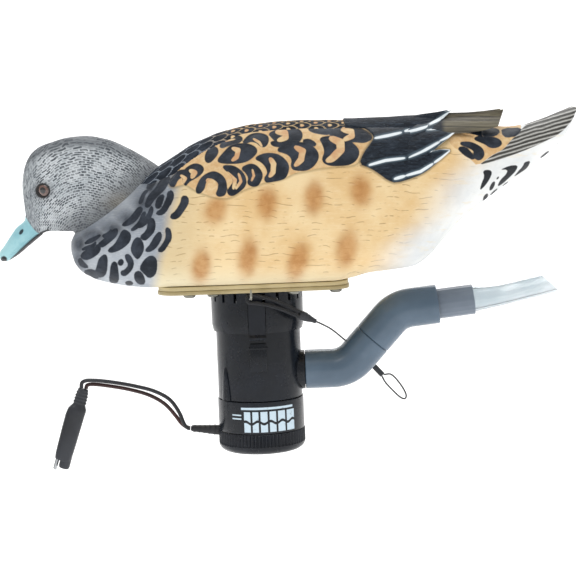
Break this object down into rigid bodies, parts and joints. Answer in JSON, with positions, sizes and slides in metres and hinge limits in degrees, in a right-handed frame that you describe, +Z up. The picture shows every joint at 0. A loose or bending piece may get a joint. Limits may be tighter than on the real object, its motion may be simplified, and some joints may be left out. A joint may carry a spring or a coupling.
{
  "type": "swimming duck decoy",
  "caption": "Floating duck decoy with a pump jet under the belly: separate head, screwed belly plate, twist-lock pump, swivelling pipe elbows, clear outlet, wired plug and tether.",
  "frame": {"origin": "on the pump's axis at the level of the belly plate", "axes": "+X from the bill to the tail, +Y to the bird's right-hand side when it is seen from the tail, +Z up"},
  "size_m": [0.3824, 0.14, 0.2302],
  "materials": {
    "hull_paint": "matt painted blow-moulded plastic",
    "head_paint": "matt painted blow-moulded plastic",
    "eye_left": "glossy moulded eye",
    "eye_right": "glossy moulded eye",
    "plate_buff": "satin moulded plastic",
    "gasket_rubber": "matt",
    "plate_fastener": "stainless",
    "strainer_fastener": "stainless",
    "staple_steel": "stainless wire",
    "strainer_plastic": "satin black moulded plastic",
    "latch_plastic_front": "satin black moulded plastic",
    "latch_plastic_rear": "satin black moulded plastic",
    "housing_plastic": "satin black moulded plastic",
    "funnel_plastic": "moulded",
    "impeller_plastic": "moulded",
    "shaft_steel": "ground steel",
    "seal_rubber": "matt",
    "seal_plate_plastic": "moulded",
    "can_steel": "zinc plated",
    "magnet_rear": "sintered ferrite",
    "magnet_front": "sintered ferrite",
    "armature_winding": "enamelled copper on laminations",
    "commutator_copper": "turned copper",
    "brush_plastic": "moulded",
    "bushing_lower": "sintered bronze",
    "bushing_upper": "sintered bronze",
    "case_plastic": "satin black moulded plastic, pad printed",
    "oring_rubber": "matt",
    "cap_plastic": "satin black moulded plastic",
    "gland_rubber": "satin",
    "wire_black": "PVC insulation",
    "wire_red": "PVC insulation",
    "plug_plastic": "moulded soft plastic",
    "plug_pin_metal": "nickel plated",
    "plug_socket_metal": "brass",
    "pvc_lower": "satin PVC",
    "pvc_upper": "satin PVC",
    "pvc_coupler": "satin PVC",
    "pvc_nipple": "satin PVC",
    "clear_pvc": "clear flexible PVC",
    "bungee_fabric": "braided elastic cord",
    "crimp_metal": "pressed sleeve",
    "line_nylon": "nylon line",
    "loop_crimp_metal": "pressed sleeve",
    "loop_nylon": "nylon line"
  },
  "bodies": {
    "decoy": {"hull_shell": "hull_paint", "head": "head_paint", "left_eye": "eye_left", "right_eye": "eye_right", "belly_plate": "plate_buff", "plate_gasket": "gasket_rubber", "plate_screw_1": "plate_fastener", "plate_screw_2": "plate_fastener", "plate_screw_3": "plate_fastener", "plate_screw_4": "plate_fastener", "plate_screw_5": "plate_fastener", "plate_screw_6": "plate_fastener", "plate_screw_7": "plate_fastener", "plate_screw_8": "plate_fastener", "strainer_screw_1": "strainer_fastener", "strainer_screw_2": "strainer_fastener", "strainer_screw_3": "strainer_fastener", "strainer_screw_4": "strainer_fastener", "tether_eye": "staple_steel", "strainer_base": "strainer_plastic", "pump_housing": "housing_plastic", "intake_funnel": "funnel_plastic", "tether_crimp": "crimp_metal", "tether_bungee": "bungee_fabric", "tether_line": "line_nylon", "loop_crimp": "loop_crimp_metal", "tether_loop": "loop_nylon"},
    "motor_unit": {"shaft_seal": "seal_rubber", "seal_plate": "seal_plate_plastic", "motor_can": "can_steel", "magnet_rear": "magnet_rear", "magnet_front": "magnet_front", "brush_holder": "brush_plastic", "bushing_lower": "bushing_lower", "bushing_upper": "bushing_upper", "motor_case": "case_plastic", "case_oring": "oring_rubber", "motor_cap": "cap_plastic", "cable_gland": "gland_rubber", "lead_black": "wire_black", "lead_red": "wire_red", "plug_body": "plug_plastic", "plug_pin": "plug_pin_metal", "plug_socket": "plug_socket_metal"},
    "rotor": {"impeller": "impeller_plastic", "motor_shaft": "shaft_steel", "armature": "armature_winding", "commutator": "commutator_copper"},
    "elbow_lower": {"lower_elbow": "pvc_lower", "elbow_coupler": "pvc_coupler"},
    "elbow_upper": {"upper_elbow": "pvc_upper", "nozzle_nipple": "pvc_nipple", "clear_nozzle": "clear_pvc"},
    "finger_front": {"latch_front": "latch_plastic_front"},
    "finger_rear": {"latch_rear": "latch_plastic_rear"}
  },
  "joints": [
    {"name": "cartridge_twist", "type": "hinge", "parent": "decoy", "child": "motor_unit", "pos_m": [0, 0, -0.075], "axis": [0, 0, 1], "range_deg": [0, 25]},
    {"name": "rotor_spin", "type": "hinge", "parent": "motor_unit", "child": "rotor", "pos_m": [0, 0, -0.075], "axis": [0, 0, 1], "continuous": true},
    {"name": "lower_elbow_swivel", "type": "hinge", "parent": "decoy", "child": "elbow_lower", "pos_m": [0.0305, 0, -0.0589], "axis": [1, 0, 0], "range_deg": [0, 60]},
    {"name": "upper_elbow_swivel", "type": "hinge", "parent": "elbow_lower", "child": "elbow_upper", "pos_m": [0.076, 0, -0.03995], "axis": [0.6763, 0, 0.7366], "range_deg": [-40, 40]},
    {"name": "front_finger_flex", "type": "hinge", "parent": "decoy", "child": "finger_front", "pos_m": [0, -0.0304, -0.011], "axis": [-1, 0, 0], "range_deg": [0, 8], "stiffness_Nm_per_rad": 0.8},
    {"name": "rear_finger_flex", "type": "hinge", "parent": "decoy", "child": "finger_rear", "pos_m": [0, 0.0304, -0.011], "axis": [1, 0, 0], "range_deg": [0, 8], "stiffness_Nm_per_rad": 0.8}
  ]
}
